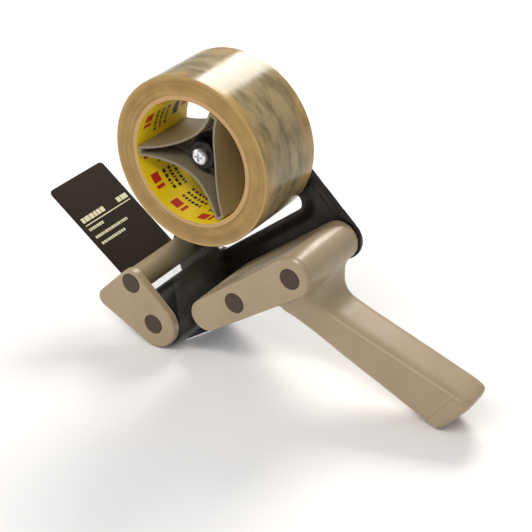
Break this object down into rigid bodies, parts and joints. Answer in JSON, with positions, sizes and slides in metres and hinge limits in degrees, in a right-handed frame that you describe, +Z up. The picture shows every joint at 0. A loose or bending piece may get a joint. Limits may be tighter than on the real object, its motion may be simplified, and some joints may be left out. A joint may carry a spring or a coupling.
{
  "type": "tape dispenser",
  "caption": "Hand-held box sealing tape dispenser: reel hub with brake on a side frame, application roller, cutting blade, wiper flap and moulded handle.",
  "frame": {"origin": "on the ground plane, in the middle of the footprint of the whole object's box", "axes": "+Z up, +X towards the handle's end, +Y towards the frame plate, along every axle"},
  "size_m": [0.2918, 0.0676, 0.187],
  "materials": {
    "taupe_plastic": "fine moulded satin",
    "plug_plastic": "satin",
    "brown_gloss": "gloss enamel",
    "flap_plastic": "satin",
    "hub_plastic": "satin",
    "black_plastic": "satin",
    "roller_rubber": "ground rubber",
    "steel": "zinc plated",
    "blade_steel": "ground bright",
    "chrome": "bright plated",
    "bronze": "sintered",
    "felt": "pressed felt",
    "core_board": "printed paperboard",
    "tape_film": "clear film in layers"
  },
  "bodies": {
    "frame": {"frame_plate": "brown_gloss", "hub_spindle": "steel", "spindle_washer": "steel", "spindle_nut": "steel", "brake_washer": "felt", "handle_housing": "taupe_plastic", "handle_end_cap": "taupe_plastic", "housing_side_cover": "taupe_plastic", "front_side_plate": "taupe_plastic", "plug_pivot": "plug_plastic", "plug_roller": "plug_plastic", "plug_cover_front": "plug_plastic", "plug_cover_rear": "plug_plastic", "cover_screw_front": "steel", "cover_screw_rear": "steel", "rod_screw_near": "steel", "axle_screw_near": "steel", "rod_screw_far": "steel", "axle_screw_far": "steel", "frame_screw_front": "steel", "frame_screw_rear": "steel", "cutting_blade": "blade_steel", "blade_screw_1": "steel", "blade_screw_2": "steel", "roller_axle": "steel", "wiper_rod": "steel", "tape_strip": "tape_film"},
    "wiper": {"wiper_carrier": "taupe_plastic", "wiper_flap": "flap_plastic", "wiper_rivet_1": "steel", "wiper_rivet_2": "steel", "wiper_rivet_3": "steel", "wiper_spring": "steel"},
    "roller": {"roller_sleeve": "roller_rubber", "roller_core": "black_plastic", "roller_bush_near": "bronze", "roller_bush_far": "bronze"},
    "hub": {"reel_hub": "hub_plastic", "hub_bushing": "bronze"},
    "tape": {"tape_core": "core_board", "tape_roll": "tape_film"},
    "brake_cup": {"pressure_cup": "black_plastic", "tension_spring": "steel"},
    "brake_screw": {"tension_screw": "chrome"}
  },
  "joints": [
    {"name": "reel_spin", "type": "hinge", "parent": "frame", "child": "hub", "pos_m": [-0.03474, 0, 0.134], "axis": [0, 1, 0], "continuous": true},
    {"name": "roll_slide", "type": "slide", "parent": "hub", "child": "tape", "axis": [0, -1, 0], "range_m": [0, 0.055]},
    {"name": "roller_spin", "type": "hinge", "parent": "frame", "child": "roller", "pos_m": [-0.06294, 0, 0.017], "axis": [0, 1, 0], "continuous": true},
    {"name": "wiper_swing", "type": "hinge", "parent": "frame", "child": "wiper", "pos_m": [-0.07904, 0, 0.0413], "axis": [0, 1, 0], "range_deg": [0, 25], "stiffness_Nm_per_rad": 0.25},
    {"name": "brake_press", "type": "slide", "parent": "frame", "child": "brake_cup", "axis": [0, 1, 0], "range_m": [0, 0.002], "deforming": ["tension_spring"]},
    {"name": "brake_turn", "type": "hinge", "parent": "brake_cup", "child": "brake_screw", "pos_m": [-0.03474, 0, 0.134], "axis": [0, 1, 0], "range_deg": [0, 720]}
  ],
  "couplings": [
    {"joint": "brake_turn", "follows": "brake_press", "rad_per_m": 6283.2}
  ]
}
